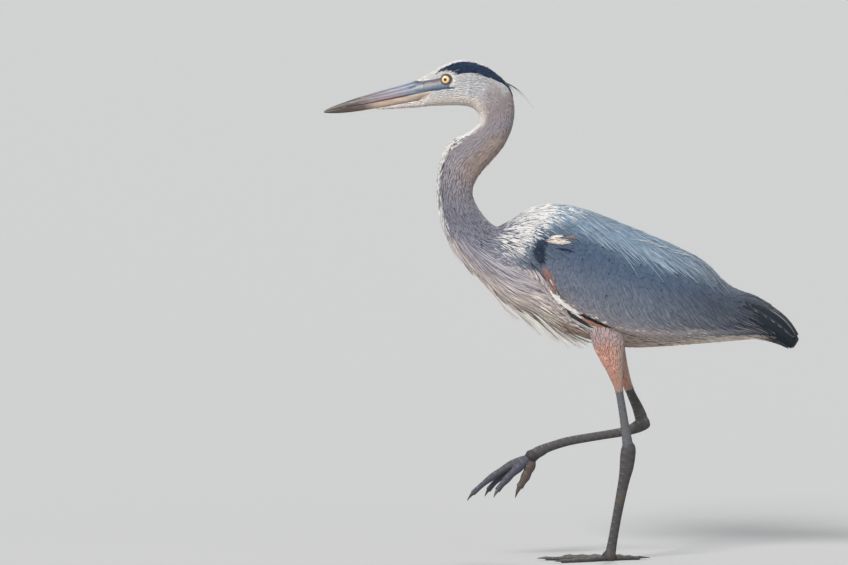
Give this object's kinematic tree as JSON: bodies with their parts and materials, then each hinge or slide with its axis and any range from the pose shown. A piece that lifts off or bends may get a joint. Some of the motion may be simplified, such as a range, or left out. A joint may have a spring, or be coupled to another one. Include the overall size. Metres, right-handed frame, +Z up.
{
  "type": "great blue heron model",
  "caption": "Life-size still model of a great blue heron wading on one leg, the other foot lifted forward, with an S-bent neck, dagger bill and folded wings.",
  "frame": {"origin": "on the floor under the middle of the bird's outer box, level with the sole of the standing foot", "axes": "-X the way the bill points, -Y the bird's left side, +Z up"},
  "size_m": [0.6904, 0.1458, 0.7267],
  "materials": {
    "plumage_grey": "matt blue-grey plumage",
    "plumage_pale": "matt pale grey-white plumage",
    "plumage_neck": "matt lavender-grey plumage",
    "plumage_slate": "matt dark slate plumage",
    "plumage_plume": "matt pale buff plumes",
    "plumage_cinnamon": "matt cinnamon plumage",
    "plumage_navy": "matt black-blue plumes",
    "leg_skin": "scaly dark grey-brown skin",
    "bill_horn": "satin slate and brown horn",
    "mandible_horn": "satin buff horn",
    "claw_horn": "satin black horn",
    "eye": "wet pale yellow eye"
  },
  "bodies": {
    "root": {"bill_lower": "mandible_horn", "bill_upper": "bill_horn", "breast_plumes": "plumage_plume", "chin": "plumage_pale", "claw_hind_left": "claw_horn", "claw_hind_right": "claw_horn", "claw_inner_left": "claw_horn", "claw_inner_right": "claw_horn", "claw_middle_left": "claw_horn", "claw_middle_right": "claw_horn", "claw_outer_left": "claw_horn", "claw_outer_right": "claw_horn", "crest_plume_left": "plumage_navy", "crest_plume_right": "plumage_navy", "eye_left": "eye", "eye_right": "eye", "foot_left": "leg_skin", "foot_right": "leg_skin", "head": "plumage_pale", "neck_lower": "plumage_neck", "neck_middle": "plumage_neck", "neck_upper": "plumage_neck", "shank_left": "leg_skin", "shank_right": "leg_skin", "tail": "plumage_slate", "tarsus_left": "leg_skin", "tarsus_right": "leg_skin", "thigh_left": "plumage_cinnamon", "thigh_right": "plumage_cinnamon", "toe_hind_left": "leg_skin", "toe_hind_right": "leg_skin", "toe_inner_left": "leg_skin", "toe_inner_right": "leg_skin", "toe_middle_left": "leg_skin", "toe_middle_right": "leg_skin", "toe_outer_left": "leg_skin", "toe_outer_right": "leg_skin", "trunk": "plumage_grey", "wing_left": "plumage_grey", "wing_right": "plumage_grey"}
  },
  "joints": []
}
